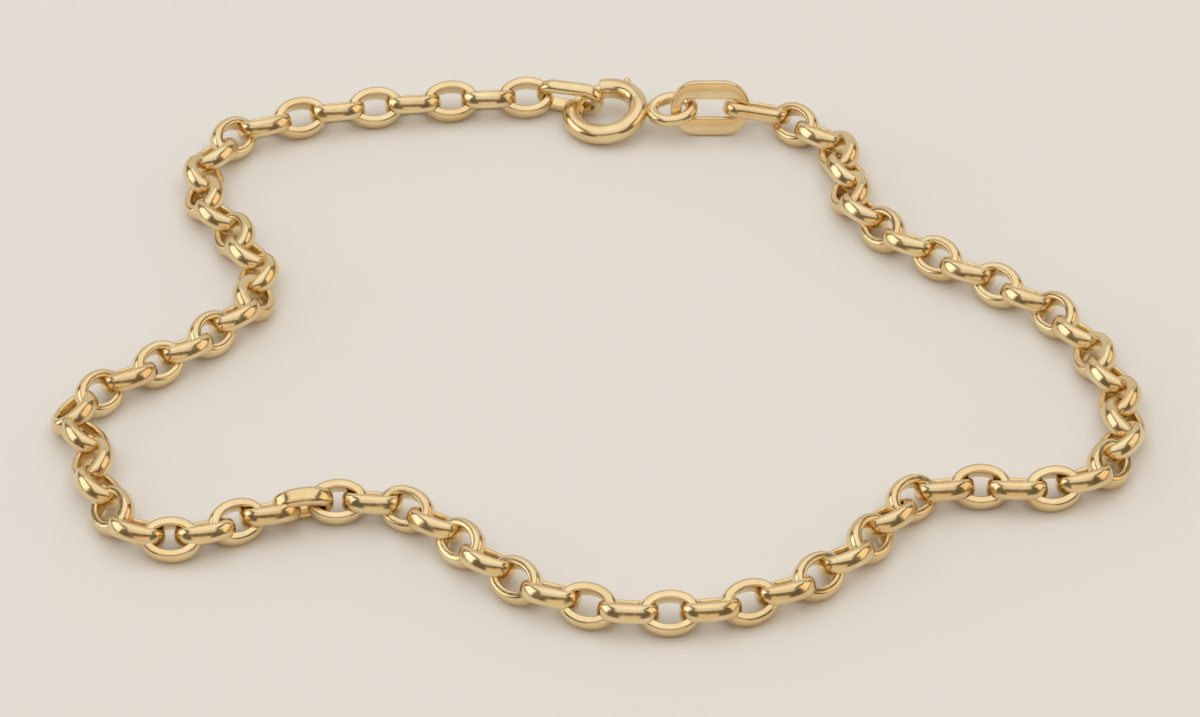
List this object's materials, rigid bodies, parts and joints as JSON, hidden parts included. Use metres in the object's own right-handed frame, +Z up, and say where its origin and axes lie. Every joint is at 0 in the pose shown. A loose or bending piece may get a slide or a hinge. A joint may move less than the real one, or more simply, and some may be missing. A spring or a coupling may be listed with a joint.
{
  "type": "link bracelet",
  "caption": "Closed loop bracelet of oval belcher links in polished yellow gold, joined by a bolt ring with a sliding bolt and a flat oval end link.",
  "frame": {"origin": "on the table under the middle of the loop's box", "axes": "+X along the loop's longest way, to the right as it is seen from the front, +Y away from the front to the clasp's side, +Z up from the table"},
  "size_m": [0.0608, 0.05, 0.0034],
  "materials": {
    "gold": "polished 18 carat yellow gold"
  },
  "bodies": {
    "bracelet": {"chain_right": "gold", "chain_left": "gold", "bolt_ring": "gold", "end_link": "gold"},
    "bolt": {"bolt": "gold"}
  },
  "joints": [
    {"name": "bolt_retract", "type": "hinge", "parent": "bracelet", "child": "bolt", "pos_m": [0.00043, 0.02219, 0.00104], "axis": [-0.1392, -0.1378, 0.9806], "range_deg": [-30, 0], "stiffness_Nm_per_rad": 0.002, "springref_deg": 11.46}
  ]
}
